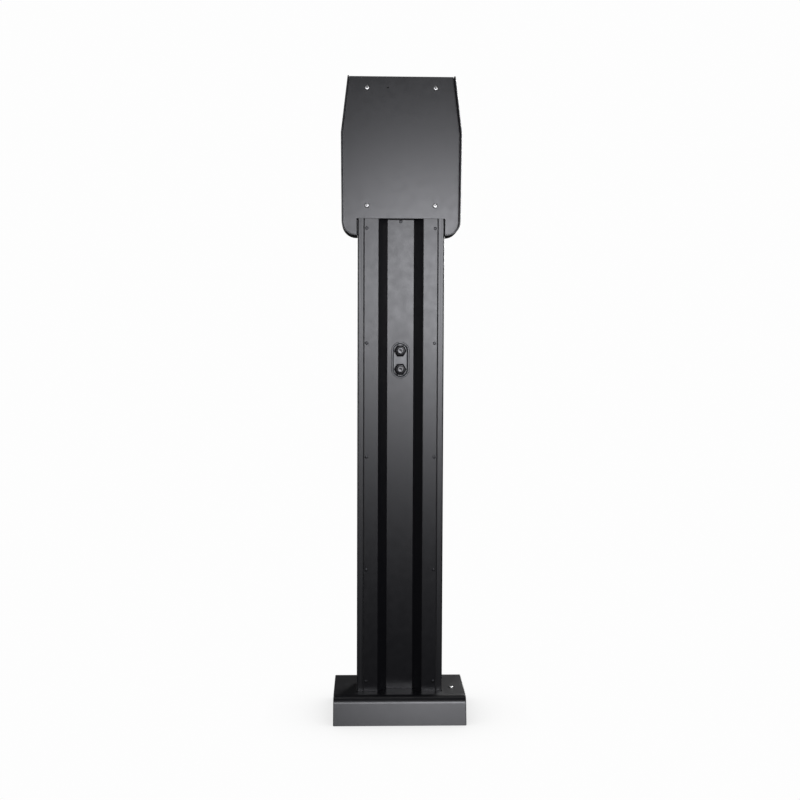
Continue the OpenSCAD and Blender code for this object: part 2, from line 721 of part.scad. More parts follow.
module unit_gland() color("#1a1b1e") {
    seat_z = unit_notch[1] + unit_wall;
    difference() {
        union() {
            hex_z(riser[0], riser[1], seat_z, seat_z + 5, 24);
            rod_z(riser[0], riser[1], seat_z - 7, seat_z + 0.5, m20);
        }
        rod_z(riser[0], riser[1], seat_z - 8, seat_z + 6, riser_r + free);
    }
    difference() {
        hex_z(riser[0], riser[1], seat_z + 5, seat_z + 15, 22);
        rod_z(riser[0], riser[1], seat_z + 4, seat_z + 16, riser_r + free);
    }
}

// ---------- placing ----------

base_plate();
foot_brackets();
foot_screws();
base_cover();
cover_post();
base_cover_screw();
earth_stud();
column_body();
column_cap();
cover_gaskets();
rear_cover();
rear_cover_screws();
outlet_cup();
gland_bodies();
gland_domes();
gland_plugs();
gland_locknuts();
supply_terminals();
riser_cable();
neck_bracket();
neck_screws();
head_plate();
side_rims();
head_spacers();
head_screws();
unit_base();
unit_inserts();
unit_seal();
unit_cover();
lock_catch();
lock_body();
lock_nut();
lock_plug();
lock_cam();
socket_shell();
socket_screws();
socket_core();
socket_contacts();
socket_lid();
lid_seal();
lid_pin();
lid_spring();
lock_actuator();
plug_lock_pin();
status_light();
led_board();
reader_window();
reader_board();
button_housing();
stop_button();
button_spring();
breaker_flap();
flap_pin();
breaker();
breaker_toggle();
contactor();
din_rail();
unit_terminals();
controller_board();
unit_gland();
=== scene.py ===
"""Looks for the charging post: materials, detailed pieces, studio and camera."""
import json
import math

import bmesh
import bpy
from mathutils import Matrix, Vector


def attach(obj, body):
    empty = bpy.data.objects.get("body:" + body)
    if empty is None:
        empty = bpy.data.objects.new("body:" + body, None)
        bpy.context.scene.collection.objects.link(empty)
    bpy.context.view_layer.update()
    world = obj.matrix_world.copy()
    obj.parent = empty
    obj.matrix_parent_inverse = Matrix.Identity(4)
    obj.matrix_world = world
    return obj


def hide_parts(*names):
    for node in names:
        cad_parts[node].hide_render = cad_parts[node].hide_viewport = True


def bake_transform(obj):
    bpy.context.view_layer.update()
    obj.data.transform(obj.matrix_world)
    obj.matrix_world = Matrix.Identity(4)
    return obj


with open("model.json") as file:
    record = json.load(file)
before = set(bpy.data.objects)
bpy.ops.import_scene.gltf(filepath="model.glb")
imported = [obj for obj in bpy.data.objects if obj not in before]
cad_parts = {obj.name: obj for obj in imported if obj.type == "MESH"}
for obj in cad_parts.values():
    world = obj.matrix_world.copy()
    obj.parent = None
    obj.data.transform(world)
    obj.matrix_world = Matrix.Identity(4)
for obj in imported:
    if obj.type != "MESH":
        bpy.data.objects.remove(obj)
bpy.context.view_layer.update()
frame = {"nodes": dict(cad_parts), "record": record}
NODES = frame["nodes"]
MM = 0.001

# ---------------------------------------------------------------- camera and studio

# Places are in metres, angles in degrees, the lens and its sensor in millimetres
CAMERA_AT = (0.0716, 2.4295, 0.8191)
CAMERA_YAW = 1.688
CAMERA_PITCH = 2.796
CAMERA_ROLL = -0.222
SENSOR = 36.0
LENS = 49.68

STAGE_LIGHT = 0.985
STAGE_RADIUS = 9
# The floor beside the post has this share of the stage's light, and gets all of it this far away
CONTACT_LIGHT = 0.6
CONTACT_REACH = 0.16
COOL_WHITE = (0.97, 0.975, 1.03)


def make_camera():
    """The camera stands behind the post and looks almost level at it."""
    yaw, pitch, roll = (math.radians(a) for a in (CAMERA_YAW, CAMERA_PITCH, CAMERA_ROLL))
    ahead = Vector((-math.sin(yaw) * math.cos(pitch), -math.cos(yaw) * math.cos(pitch),
                    -math.sin(pitch)))
    right = ahead.cross(Vector((0, 0, 1))).normalized()
    up = right.cross(ahead)
    tilted_right = right * math.cos(roll) - up * math.sin(roll)
    tilted_up = up * math.cos(roll) + right * math.sin(roll)
    turn = Matrix((tilted_right, tilted_up, -ahead)).transposed()
    data = bpy.data.cameras.new("camera")
    data.sensor_width = SENSOR
    data.lens = LENS
    data.clip_end = 100
    cam = bpy.data.objects.new("camera", data)
    cam.matrix_world = Matrix.Translation(CAMERA_AT) @ turn.to_4x4()
    bpy.context.collection.objects.link(cam)
    bpy.context.scene.camera = cam


def softbox(name, at, aim, width, height, power, color=(1, 1, 1)):
    """A rectangular area light at one place, which faces another."""
    data = bpy.data.lights.new(name, "AREA")
    data.shape = "RECTANGLE"
    data.size = width
    data.size_y = height
    data.energy = power
    data.color = color
    light = bpy.data.objects.new(name, data)
    light.location = at
    light.rotation_euler = (Vector(aim) - Vector(at)).to_track_quat("-Z", "Y").to_euler()
    bpy.context.collection.objects.link(light)


def stage_material(name, shaded):
    """Even white light. Near the post the floor is a little darker, where it shades the ground."""
    mat = bpy.data.materials.new(name)
    mat.use_nodes = True
    tree = mat.node_tree
    shader = tree.nodes["Principled BSDF"]
    shader.inputs["Base Color"].default_value = (0, 0, 0, 1)
    shader.inputs["Roughness"].default_value = 1
    shader.inputs["Specular IOR Level"].default_value = 0
    shader.inputs["Emission Color"].default_value = (1, 1, 1, 1)
    shader.inputs["Emission Strength"].default_value = STAGE_LIGHT
    if shaded:
        shade = tree.nodes.new("ShaderNodeAmbientOcclusion")
        shade.samples = 8
        shade.inputs["Distance"].default_value = CONTACT_REACH
        ramp = tree.nodes.new("ShaderNodeMapRange")
        ramp.inputs["To Min"].default_value = STAGE_LIGHT * CONTACT_LIGHT
        ramp.inputs["To Max"].default_value = STAGE_LIGHT
        tree.links.new(shade.outputs["AO"], ramp.inputs["Value"])
        tree.links.new(ramp.outputs[0], shader.inputs["Emission Strength"])
    return mat


def make_stage():
    """A pale floor and a pale dome. Only the camera sees them, so they don't light the post."""
    bpy.ops.mesh.primitive_circle_add(vertices=96, radius=STAGE_RADIUS, fill_type="TRIFAN",
                                      location=(0, 0, -0.0005))
    floor = bpy.context.object
    floor.name = "stage_floor"
    floor.data.materials.append(stage_material("stage_floor", True))
    bpy.ops.mesh.primitive_uv_sphere_add(segments=64, ring_count=32, radius=STAGE_RADIUS, location=(0, 0, 0))
    dome = bpy.context.object
    dome.name = "stage_dome"
    dome.data.materials.append(stage_material("stage_dome", False))
    for thing in (floor, dome):
        thing.visible_diffuse = False
        thing.visible_glossy = False
        thing.visible_transmission = False
        thing.visible_shadow = False


def make_lights():
    """A wide key and a low strip behind the camera light the rear. The others fill in the other sides."""
    softbox("key", (-0.31, 2.75, 1.10), (0, 0, 0.95), 1.0, 0.72, 41, COOL_WHITE)
    softbox("low", (-0.35, 2.75, 0.44), (0, 0, 0.3), 0.9, 0.2, 3.5, COOL_WHITE)
    for side in (-1, 1):
        softbox("rear_side", (side * 2.2, 2.0, 1.35), (0, 0, 0.95), 0.6, 1.4, 13)
    softbox("front", (-1.4, -2.3, 1.75), (0, 0, 1.1), 1.2, 1.2, 105)
    softbox("front_side", (1.7, -1.6, 1.3), (0, 0, 1.1), 0.7, 1.4, 22)
    softbox("top", (0, 0.1, 3.4), (0, 0, 0.5), 1.0, 1.0, 3)


def make_world():
    """Faint white light from all round, so that no face is quite black."""
    world = bpy.data.worlds.new("studio")
    world.use_nodes = True
    back = world.node_tree.nodes["Background"]
    back.inputs["Color"].default_value = (1, 1, 1, 1)
    back.inputs["Strength"].default_value = 0.02
    bpy.context.scene.world = world


make_camera()
make_stage()
make_lights()
make_world()
bpy.context.scene.view_settings.view_transform = "Standard"
bpy.context.scene.cycles.use_denoising = True

# ---------------------------------------------------------------- material helpers


class Shade:
    """One procedural material: a Principled shader and the nodes that feed it."""

    def __init__(self, name, metallic=0.0, specular=0.5):
        self.mat = bpy.data.materials.new(name)
        self.mat.use_nodes = True
        self.tree = self.mat.node_tree
        self.shader = self.tree.nodes["Principled BSDF"]
        self.set("Metallic", metallic)
        self.set("Specular IOR Level", specular)
        self.place = self.tree.nodes.new("ShaderNodeTexCoord").outputs["Object"]
        self.last_bump = None

    def set(self, socket, value):
        """Sets one of the shader's own sockets to a plain value."""
        self.shader.inputs[socket].default_value = value

    def feed(self, socket, value):
        """Links an output to one of the shader's own sockets."""
        self.tree.links.new(value, self.shader.inputs[socket])

    def put(self, socket, value):
        """Links an output to any socket, or sets the socket to a plain value."""
        if isinstance(value, bpy.types.NodeSocket):
            self.tree.links.new(value, socket)
        else:
            socket.default_value = value

    def node(self, kind, **inputs):
        """A new node whose sockets are linked or set by their names."""
        made = self.tree.nodes.new(kind)
        for key, value in inputs.items():
            self.put(made.inputs[key], value)
        return made

    def noise(self, scale, detail=3.0, stretch=(1, 1, 1)):
        """Noise with features about 1 / scale metres across."""
        place = self.node("ShaderNodeMapping", Vector=self.place, Scale=stretch).outputs[0]
        made = self.node("ShaderNodeTexNoise", Vector=place, Scale=scale, Detail=detail)
        return made.outputs["Fac"]

    def spread(self, value, low, high, start=0.3, end=0.7):
        """value, which runs from start to end, spread over low to high."""
        made = self.node("ShaderNodeMapRange", Value=value)
        for key, number in (("From Min", start), ("From Max", end), ("To Min", low), ("To Max", high)):
            made.inputs[key].default_value = number
        return made.outputs[0]

    def mix(self, factor, first, second):
        """A colour between first and second."""
        made = self.tree.nodes.new("ShaderNodeMix")
        made.data_type = "RGBA"
        for index, value in ((0, factor), (6, first), (7, second)):
            self.put(made.inputs[index], value)
        return made.outputs[2]

    def bump(self, height, strength, distance):
        """Adds a bump to those the shader already has."""
        made = self.node("ShaderNodeBump", Height=height, Strength=strength, Distance=distance)
        if self.last_bump is not None:
            self.tree.links.new(self.last_bump, made.inputs["Normal"])
        self.last_bump = made.outputs[0]
        self.feed("Normal", self.last_bump)

    def edges(self, radius):
        """1 near the edges of the piece, 0 away from them."""
        bevel = self.node("ShaderNodeBevel", Radius=radius)
        bevel.samples = 4
        normal = self.tree.nodes.new("ShaderNodeNewGeometry").outputs["Normal"]
        dot = self.tree.nodes.new("ShaderNodeVectorMath")
        dot.operation = "DOT_PRODUCT"
        self.put(dot.inputs[0], bevel.outputs[0])
        self.put(dot.inputs[1], normal)
        return self.spread(dot.outputs["Value"], 1, 0, 0.93, 0.999)


def grey(value):
    """A grey with a trace of blue."""
    return (value, value, value + 0.0012, 1)


def powder_coat(name, tone, gloss, specular):
    """Satin powder coat: tiny orange peel, faint cloudy gloss, a little rubbed at the edges."""
    s = Shade(name, specular=specular)
    cloud = s.noise(9, 4)
    grain = s.noise(1500, 2)
    worn = s.edges(0.0012)
    base = s.mix(s.spread(cloud, 0, 1), grey(tone * 0.9), grey(tone * 1.12))
    s.feed("Base Color", s.mix(s.spread(worn, 0, 0.5, 0, 1), base, grey(tone * 2.2)))
    s.feed("Roughness", s.spread(s.noise(60, 3), gloss - 0.02, gloss + 0.02))
    s.bump(grain, 0.06, 0.0001)
    s.bump(s.noise(330, 2), 0.05, 0.0002)
    return s.mat


def anodised(name, tone, gloss):
    """Black anodised extrusion with long die lines that run up it."""
    s = Shade(name)
    lines = s.noise(900, 2, (1, 1, 0.004))
    cloud = s.noise(7, 3, (1, 1, 0.4))
    base = s.mix(s.spread(cloud, 0, 1), grey(tone * 0.92), grey(tone * 1.1))
    worn = s.edges(0.0012)
    s.feed("Base Color", s.mix(s.spread(worn, 0, 0.4, 0, 1), base, grey(tone * 2.4)))
    s.feed("Roughness", s.spread(lines, gloss - 0.04, gloss + 0.05))
    s.bump(lines, 0.06, 0.0001)
    s.bump(s.noise(1400, 2), 0.08, 0.0001)
    return s.mat


def metal(name, color, gloss, brushed=(1, 1, 1), scale=1200.0, mottled=0.0):
    """Bare or plated metal, brushed or turned, with faint stains that mottled makes darker."""
    s = Shade(name, metallic=1.0)
    lines = s.noise(scale, 3, brushed)
    stain = s.noise(45, 4)
    dark = tuple(c * (0.82 - mottled) for c in color)
    s.feed("Base Color", s.mix(s.spread(stain, 0, 1), (*dark, 1), (*color, 1)))
    s.feed("Roughness", s.spread(lines, gloss - 0.06, gloss + 0.1))
    s.bump(lines, 0.12, 0.00008)
    return s.mat


def moulded(name, color, gloss, grain=1800.0, depth=0.10):
    """Moulded plastic with a fine spark texture and slightly uneven gloss."""
    s = Shade(name)
    cloud = s.noise(25, 3)
    dark = tuple(c * 0.88 for c in color)
    worn = s.edges(0.0008)
    base = s.mix(s.spread(cloud, 0, 1), (*dark, 1), (*color, 1))
    light = tuple(min(1.0, c * 1.6 + 0.01) for c in color)
    s.feed("Base Color", s.mix(s.spread(worn, 0, 0.35, 0, 1), base, (*light, 1)))
    s.feed("Roughness", s.spread(s.noise(70, 3), gloss - 0.04, gloss + 0.05))
    s.bump(s.noise(grain, 2), depth, 0.0001)
    return s.mat


def rubber(name, tone):
    """Dull rubber with a little dust on it."""
    s = Shade(name, specular=0.3)
    dust = s.noise(120, 5)
    s.feed("Base Color", s.mix(s.spread(dust, 0, 1, 0.45, 0.75), grey(tone), grey(tone * 2.0)))
    s.feed("Roughness", s.spread(s.noise(300, 3), 0.62, 0.8))
    s.bump(s.noise(1500, 2), 0.15, 0.0001)
    return s.mat


def smoked(name):
    """Smoked clear polycarbonate with faint wiping marks."""
    s = Shade(name)
    s.set("Alpha", 0.72)
    wiped = s.noise(70, 4, (1, 1, 0.2))
    dark, light = (0.010, 0.011, 0.013, 1), (0.02, 0.021, 0.024, 1)
    s.feed("Base Color", s.mix(s.spread(wiped, 0, 1), dark, light))
    s.feed("Roughness", s.spread(wiped, 0.04, 0.16))
    return s.mat


def light_guide(name):
    """Frosted light guide that glows softly."""
    s = Shade(name)
    cells = s.noise(90, 2)
    dark, light = (0.60, 0.74, 0.76, 1), (0.72, 0.84, 0.86, 1)
    s.feed("Base Color", s.mix(s.spread(cells, 0, 1), dark, light))
    s.feed("Roughness", s.spread(s.noise(900, 2), 0.38, 0.55))
    s.set("Emission Color", (0.45, 0.85, 1.0, 1))
    s.set("Emission Strength", 0.35)
    return s.mat


def board(name):
    """Green solder mask with a faint pattern of tracks."""
    s = Shade(name)
    tracks = s.node("ShaderNodeTexBrick", Vector=s.place, Scale=220.0, Color1=(0.012, 0.085, 0.03, 1),
                    Color2=(0.016, 0.11, 0.04, 1), Mortar=(0.03, 0.16, 0.06, 1))
    patches = s.spread(s.noise(400, 2), 0.0, 0.5)
    s.feed("Base Color", s.mix(patches, tracks.outputs[0], (0.02, 0.12, 0.045, 1)))
    s.feed("Roughness", s.spread(s.noise(500, 2), 0.28, 0.45))
    s.bump(tracks.outputs[1], 0.1, 0.00005)
    return s.mat


MATERIALS = {
    "black_coat": powder_coat("black_coat", 0.004, 0.32, 0.45),
    "graphite_coat": powder_coat("graphite_coat", 0.005, 0.32, 0.56),
    "anodised": anodised("anodised", 0.007, 0.34),
    "galvanised": metal("galvanised", (0.46, 0.47, 0.48), 0.48, mottled=0.15, scale=70.0),
    "stainless": metal("stainless", (0.72, 0.72, 0.71), 0.38, (1, 1, 8)),
    "zinc": metal("zinc", (0.62, 0.62, 0.60), 0.32),
    "black_screw": metal("black_screw", (0.045, 0.045, 0.048), 0.38),
    "brass": metal("brass", (0.72, 0.50, 0.20), 0.28, (1, 8, 1)),
    "housing_plastic": moulded("housing_plastic", (0.018, 0.019, 0.021), 0.40),
    "socket_plastic": moulded("socket_plastic", (0.017, 0.018, 0.020), 0.36),
    "core_plastic": moulded("core_plastic", (0.085, 0.09, 0.10), 0.4),
    "gland_plastic": moulded("gland_plastic", (0.016, 0.016, 0.018), 0.28, 900.0, 0.06),
    "cup_plastic": moulded("cup_plastic", (0.07, 0.073, 0.078), 0.30, 900.0, 0.08),
    "seal_rubber": rubber("seal_rubber", 0.012),
    "cable_jacket": rubber("cable_jacket", 0.014),
    "light_guide": light_guide("light_guide"),
    "reader_gloss": moulded("reader_gloss", (0.006, 0.006, 0.007), 0.10, 300.0, 0.02),
    "flap_clear": smoked("flap_clear"),
    "button_red": moulded("button_red", (0.34, 0.015, 0.014), 0.25, 900.0, 0.04),
    "board_green": board("board_green"),
    "device_grey": moulded("device_grey", (0.58, 0.59, 0.60), 0.45),
    "device_dark": moulded("device_dark", (0.05, 0.054, 0.06), 0.42),
}

SLOTS = {s["node"]: s["material_slot"] for s in frame["record"]["subparts"]}

# ---------------------------------------------------------------- CAD nodes

# Edge rounding in millimetres: the usual amount, and that of four larger nodes
SMALL_ROUNDING = 0.3
ROUNDING = {"unit_base": 0.8, "socket_shell": 0.5, "base_plate": 0.6, "neck_bracket": 0.8}
COILS = ("lid_spring", "button_spring")


def soften(obj, width):
    """Rounds the sharp edges of a CAD node with modifiers, which leave its own mesh alone."""
    weld = obj.modifiers.new("weld", "WELD")
    weld.merge_threshold = 0.000005
    bevel = obj.modifiers.new("bevel", "BEVEL")
    bevel.width = width
    bevel.segments = 2
    bevel.limit_method = "ANGLE"
    bevel.angle_limit = math.radians(35)
    bevel.use_clamp_overlap = True
    bevel.miter_outer = "MITER_ARC"
    normals = obj.modifiers.new("normals", "WEIGHTED_NORMAL")
    normals.keep_sharp = True


def dress_nodes():
    """Gives each node its slot's material and rounds its edges. A coil has no edge to round."""
    for name, obj in NODES.items():
        obj.data.materials.clear()
        obj.data.materials.append(MATERIALS[SLOTS[name]])
        if name not in COILS:
            soften(obj, ROUNDING.get(name, SMALL_ROUNDING) * MM)


dress_nodes()

# ---------------------------------------------------------------- mesh helpers

# Sizes below are in millimetres, in the same frame as the CAD. keep() scales them to metres.


def round_outline(corners, steps=6):
    """A closed outline from (x, y, radius) corners."""
    out = []
    for i, (x, y, r) in enumerate(corners):
        here = Vector((x, y))
        if r == 0:
            out.append(here)
            continue
        back = (Vector(corners[i - 1][:2]) - here).normalized()
        on = (Vector(corners[(i + 1) % len(corners)][:2]) - here).normalized()
        half = back.angle(on) / 2
        centre = here + (back + on).normalized() * (r / math.sin(half))
        start = here + back * (r / math.tan(half)) - centre
        end = here + on * (r / math.tan(half)) - centre
        turn = math.atan2(start.x * end.y - start.y * end.x, start.dot(end))
        for k in range(steps + 1):
            a = turn * k / steps
            out.append(centre + Vector((start.x * math.cos(a) - start.y * math.sin(a),
                                        start.x * math.sin(a) + start.y * math.cos(a))))
    return out


def box_outline(x0, y0, x1, y1, r=0.0):
    """A rectangle, counter-clockwise, with round corners."""
    return round_outline([(x0, y0, r), (x1, y0, r), (x1, y1, r), (x0, y1, r)])


def circle(x, y, r, sides=48, start=0.0):
    """A regular polygon, counter-clockwise, whose first corner lies at the start angle."""
    return [Vector((x + r * math.cos(start + math.tau * i / sides),
                    y + r * math.sin(start + math.tau * i / sides))) for i in range(sides)]


def oval(x, y, width, height, sides=48):
    """An upright slot with round ends."""
    r, lift = width / 2, (height - width) / 2
    out = []
    for i in range(sides):
        a = math.tau * (i + 0.5) / sides
        out.append(Vector((x + r * math.cos(a), y + r * math.sin(a) + math.copysign(lift, math.sin(a)))))
    return out


def inset(outline, d):
    """The outline, which runs counter-clockwise, moved d inwards."""
    out = []
    for i, here in enumerate(outline):
        a = (here - outline[i - 1]).normalized()
        b = (outline[(i + 1) % len(outline)] - here).normalized()
        na, nb = Vector((-a.y, a.x)), Vector((-b.y, b.x))
        out.append(here + (na + nb) / max(0.3, 1 + na.dot(nb)) * d)
    return out


def mirrored(outline):
    """The outline on the other side of the middle, still counter-clockwise."""
    return [Vector((-p.x, p.y)) for p in reversed(outline)]


# The place in space of an outline's point p, where the outline lies at t along the axis
PLACE = {
    "x": lambda p, t: (t, p.x, p.y),
    "y": lambda p, t: (p.x, t, p.y),
    "z": lambda p, t: (p.x, p.y, t),
}


def loft(bm, axis, layers):
    """Joins outlines of equal length, each at its own place along the axis, into a closed solid."""
    rings = [[bm.verts.new(PLACE[axis](p, t)) for p in outline] for outline, t in layers]
    for low, high in zip(rings, rings[1:]):
        for i in range(len(low)):
            j = (i + 1) % len(low)
            bm.faces.new((low[i], low[j], high[j], high[i]))
    bm.faces.new(rings[0][::-1])
    bm.faces.new(rings[-1])


def slab(bm, axis, outline, t0, t1, edge=0.0, steps=3):
    """A solid with that outline from t0 to t1. Its end edges are rounded unless edge is 0."""
    if edge == 0:
        loft(bm, axis, [(outline, t0), (outline, t1)])
        return
    low, high = [], []
    for k in range(steps + 1):
        a = math.pi / 2 * k / steps
        ring = inset(outline, edge * (1 - math.sin(a)))
        rise = edge * (1 - math.cos(a))
        low.append((ring, t0 + rise))
        high.append((ring, t1 - rise))
    loft(bm, axis, low + high[::-1])


def lathe(bm, axis, centre, profile, sides=48):
    """Turns (radius, place along the axis) points into a closed solid with flat ends."""
    loft(bm, axis, [(circle(*centre, max(r, 0.02), sides), t) for r, t in profile])


def raw(name, *builds):
    """A mesh object, in millimetres, from functions that add closed solids to it."""
    bm = bmesh.new()
    for build in builds:
        build(bm)
    bmesh.ops.recalc_face_normals(bm, faces=bm.faces)
    mesh = bpy.data.meshes.new(name)
    bm.to_mesh(mesh)
    bm.free()
    obj = bpy.data.objects.new(name, mesh)
    bpy.context.collection.objects.link(obj)
    return obj


def solid(kind, *args, **words):
    """A function that adds such a solid to a mesh, for raw()."""
    return lambda bm: kind(bm, *args, **words)


def combine(obj, operation, tool):
    """Cuts the tool out of obj, or joins it to obj, for good."""
    mod = obj.modifiers.new("combine", "BOOLEAN")
    mod.operation = operation
    mod.solver = "EXACT"
    mod.object = tool
    bake(obj)
    bpy.data.objects.remove(tool)
    return obj


def bake(obj):
    """Makes what the modifiers show the object's own mesh."""
    graph = bpy.context.evaluated_depsgraph_get()
    made = bpy.data.meshes.new_from_object(obj.evaluated_get(graph))
    obj.modifiers.clear()
    obj.data = made


def keep(obj, slot, body, *nodes, smooth=32):
    """Finishes a piece: metres, smooth shading, material, body and the nodes that it replaces."""
    obj.data.transform(Matrix.Scale(MM, 4))
    bm = bmesh.new()
    bm.from_mesh(obj.data)
    bmesh.ops.remove_doubles(bm, verts=bm.verts, dist=0.000004)
    bmesh.ops.dissolve_degenerate(bm, edges=bm.edges, dist=0.000002)
    bm.to_mesh(obj.data)
    bm.free()
    obj.data.shade_smooth()
    obj.data.set_sharp_from_angle(angle=math.radians(smooth))
    normals = obj.modifiers.new("normals", "WEIGHTED_NORMAL")
    normals.keep_sharp = True
    obj.data.materials.clear()
    obj.data.materials.append(MATERIALS[slot])
    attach(obj, body)
    if nodes:
        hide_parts(*nodes)


# ---------------------------------------------------------------- the post's own sizes

# Millimetres. HW is half a width, HD half a depth, DZ half a distance up, R a radius. X runs across,
# Y rearward and Z up from the ground.

# Column, its two lips, the groove under each seam, its inner flanges and the recess in its rear cover
COL_HW, COL_Y, COL_TOP, WALL, SHEET = 93.75, 33.0, 1094.5, 3.5, 2.0
IN_HW, LIP_X, COVER_HW, FLANGE_X = COL_HW - WALL, 80.55, 78.95, 66.0
GROOVE_W, GROOVE_D = 2.0, 1.4
FLOOR_HW, MOUTH_HW, FLOOR_Y = 28.5, 48.5, 13.0
# (y, z) of the countersunk screws through each side of the column: two for the foot, two for the neck
SIDE_SCREWS = ((-15, 38), (15, 38), (-10, 940), (-10, 1040))
COVER_SCREW_X, COVER_SCREW_Z, COVER_SCREW_GAP = 73.8, 82.0, 247.75

# Rear outlet, which is taller than it is wide by OUTLET_LIFT, and its two glands
OUTLET_Z, OUTLET_LIFT, GLAND_DZ = 788.5, 40.5, 20.3

# Foot cover
FOOT_HW, FOOT_HD, FOOT_Y, FOOT_H, FOOT_BEND = 144.3, 100.0, -16.0, 60.0, 20.0
FOOT_TOP_HD = FOOT_HD - FOOT_H * math.tan(math.radians(13.5))
FOOT_SCREW = (-116, 8, FOOT_H)

# Head, whose sides have a kink, and its back plate, side rims and screws
HEAD_TOP, KINK_Z, HEAD_Z = 1400.0, 1277.0, 1057.0
TOP_HW, KINK_HW, LOW_HW, HEAD_R, RIM = 115.5, 130.3, 128.2, 31.0, 3.0
PLATE_Y, RIM_Y = (15.0, 18.0), (-28.0, 36.0)
NOTCH_HW = COL_HW + 2.75
SCREW_X, SCREW_DZ, SCREW_Z = 74.1, 126.0, 1249.3

# Charging unit: its cover, socket, lock, button, lid and the lid's hinge
UNIT_GAP, UNIT_Z, UNIT_TOP, UNIT_R, UNIT_FRONT = 6.0, HEAD_Z + 13, 1392.0, 32.0, 106.0
SOCKET_Z, LOCK_Z, BUTTON = 1190.0, 1122.0, (50, 1258)
LID_Y, LID_Z = -113.0, 1237.0


# ---------------------------------------------------------------- column

def make_column():
    """An extrusion that is open to the rear, with lips and inner flanges for the rear cover."""
    seat = COL_Y - SHEET
    half = [(COL_HW, -COL_Y, 3), (COL_HW, COL_Y, 3), (LIP_X, COL_Y, 0.8), (LIP_X, seat - GROOVE_D, 0),
            (LIP_X - GROOVE_W, seat - GROOVE_D, 0), (LIP_X - GROOVE_W, seat, 0), (FLANGE_X, seat, 0.5),
            (FLANGE_X, seat - WALL, 0.5), (IN_HW, seat - WALL, 0.5), (IN_HW, WALL - COL_Y, 1.5)]
    section = half + [(-x, y, r) for x, y, r in reversed(half)]
    obj = raw("column_extrusion", solid(slab, "z", round_outline(section), 8, COL_TOP, edge=0.3, steps=1))
    sink = [(3.1, IN_HW - 1), (3.1, COL_HW - 2.6), (5.8, COL_HW + 0.1), (5.8, COL_HW + 2)]
    holes = []
    for side in (-1, 1):
        for place in SIDE_SCREWS:
            holes.append(solid(lathe, "x", place, [(r, side * t) for r, t in sink], 32))
    combine(obj, "DIFFERENCE", raw("holes", *holes))
    keep(obj, "anodised", "post", "column_body")


def make_rear_cover():
    """A folded sheet with a trapezoid recess down its middle and a hole for the outlet."""
    lean = SHEET * math.tan(math.radians(22.5))
    half = [(COVER_HW, COL_Y, 0.5), (MOUTH_HW, COL_Y, 2.4), (FLOOR_HW, FLOOR_Y, 0.6)]
    under = [(FLOOR_HW + lean, FLOOR_Y - SHEET, 2.4), (MOUTH_HW + lean, COL_Y - SHEET, 0.6),
             (COVER_HW, COL_Y - SHEET, 0.3)]
    flip = [(-x, y, r) for x, y, r in reversed(half)]
    section = round_outline(half + flip + [(-x, y, r) for x, y, r in reversed(under)] + under)
    obj = raw("rear_cover_sheet", solid(slab, "z", section, 12, COL_TOP - 0.6, edge=0.4, steps=2))
    hole = oval(0, OUTLET_Z, 34, 34 + OUTLET_LIFT)
    combine(obj, "DIFFERENCE", raw("hole", solid(slab, "y", hole, 5, 20)))
    keep(obj, "black_coat", "post", "rear_cover")


# ---------------------------------------------------------------- foot

def foot_outline():
    """The foot cover's profile, seen from the side: sloping faces and wide folds up to a flat top."""
    return round_outline([(FOOT_Y - FOOT_HD, 0, 0), (FOOT_Y + FOOT_HD, 0, 0),
                          (FOOT_Y + FOOT_TOP_HD, FOOT_H, FOOT_BEND),
                          (FOOT_Y - FOOT_TOP_HD, FOOT_H, FOOT_BEND)], 12)


def make_foot_cover():
    """A sheet box, open below, with a hole in its top that follows the column."""
    outline = foot_outline()
    obj = raw("foot_cover_sheet", solid(slab, "x", outline, -FOOT_HW, FOOT_HW, edge=1.6, steps=4))
    inside = [Vector((p.x, p.y - 4 if p.y < 4 else p.y)) for p in inset(outline, SHEET)]
    gap, slope_gap = 1, 0.4
    around = [Vector((COL_HW + gap, -COL_Y - gap)), Vector((COL_HW + gap, COL_Y + gap)),
              Vector((MOUTH_HW - slope_gap, COL_Y + gap)), Vector((FLOOR_HW - slope_gap, FLOOR_Y + gap))]
    around += mirrored(around)
    combine(obj, "DIFFERENCE", raw("inside", solid(slab, "x", inside, SHEET - FOOT_HW, FOOT_HW - SHEET)))
    combine(obj, "DIFFERENCE", raw("around", solid(slab, "z", around, FOOT_H - 5, FOOT_H + 5)))
    keep(obj, "graphite_coat", "post", "base_cover", smooth=28)


# ---------------------------------------------------------------- head

def head_hw(z):
    """The head's half width at a height."""
    if z > KINK_Z:
        return KINK_HW + (TOP_HW - KINK_HW) * (z - KINK_Z) / (HEAD_TOP - KINK_Z)
    return KINK_HW + (LOW_HW - KINK_HW) * (KINK_Z - z) / (KINK_Z - HEAD_Z)


def head_outline(d, z0, z1, r0, r1):
    """The head's outline from z0 to z1, d inside its sides, with corner radii r0 below and r1 above.

    It runs counter-clockwise, seen from the front.
    """
    right = []
    for k in range(13):
        a = math.pi / 2 * (k / 12 - 1)
        right.append(Vector((head_hw(z0 + r0) - d - r0 + r0 * math.cos(a), z0 + r0 + r0 * math.sin(a))))
    right.append(Vector((KINK_HW - d, KINK_Z)))
    if r1 > 0:
        for k in range(9):
            a = math.pi / 2 * k / 8
            right.append(Vector((head_hw(z1 - r1) - d - r1 + r1 * math.cos(a), z1 - r1 + r1 * math.sin(a))))
    else:
        right.append(Vector((head_hw(z1) - d, z1)))
    return right + mirrored(right)


